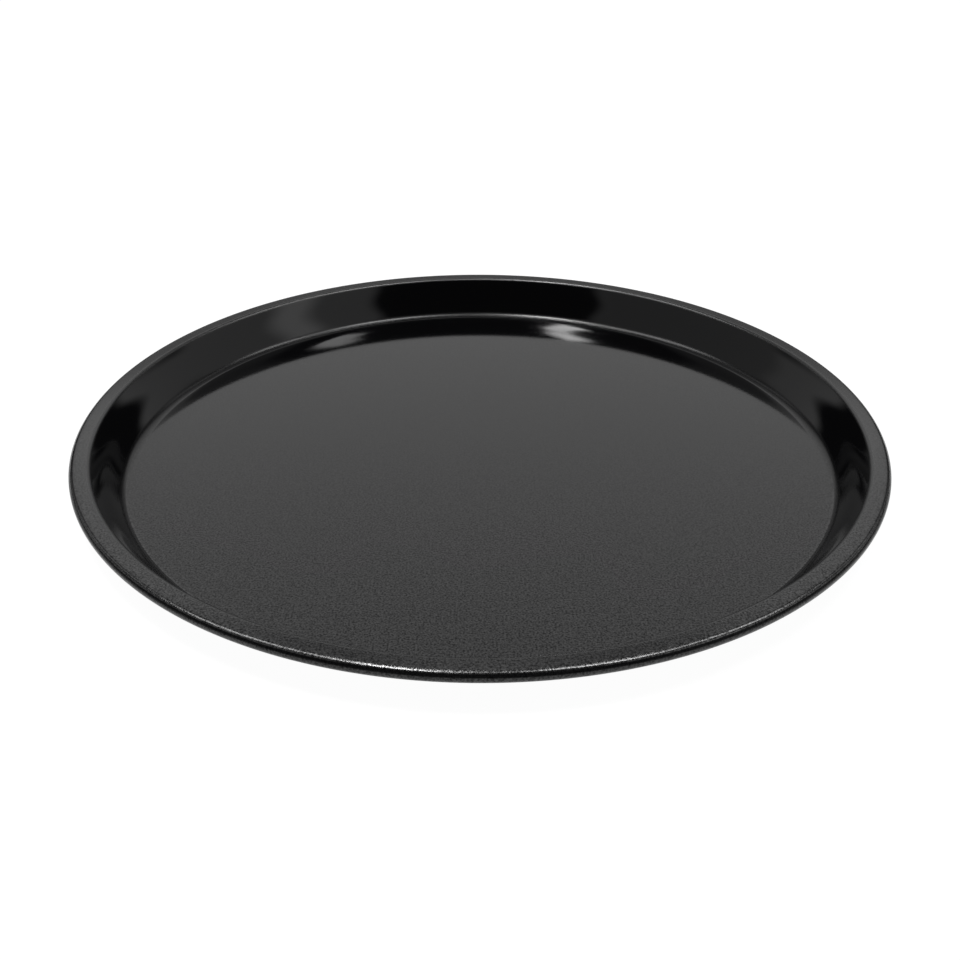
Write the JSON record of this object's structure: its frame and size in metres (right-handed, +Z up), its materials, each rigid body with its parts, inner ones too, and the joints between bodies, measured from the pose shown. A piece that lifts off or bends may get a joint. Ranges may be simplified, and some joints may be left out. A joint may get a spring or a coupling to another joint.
{
  "type": "round baking pan",
  "caption": "Round shallow baking pan of black coated steel sheet: flat floor, sloping wall, narrow land round the mouth and an edge rolled over a wire ring, for pizza and flat bakes.",
  "frame": {"origin": "centre of the underside of the floor, the face that the pan stands on", "axes": "+Z up along the pan's axis, -Y towards the viewer of the picture, +X to that viewer's right"},
  "size_m": [0.33, 0.33, 0.0169],
  "materials": {
    "coated_steel": "black non-stick coating, sprayed and baked, satin with a fine grain on the floor and smoother on the wall",
    "bare_steel": "drawn steel wire, uncoated"
  },
  "bodies": {
    "root": {"pan_shell": "coated_steel", "rim_wire": "bare_steel"}
  },
  "joints": []
}
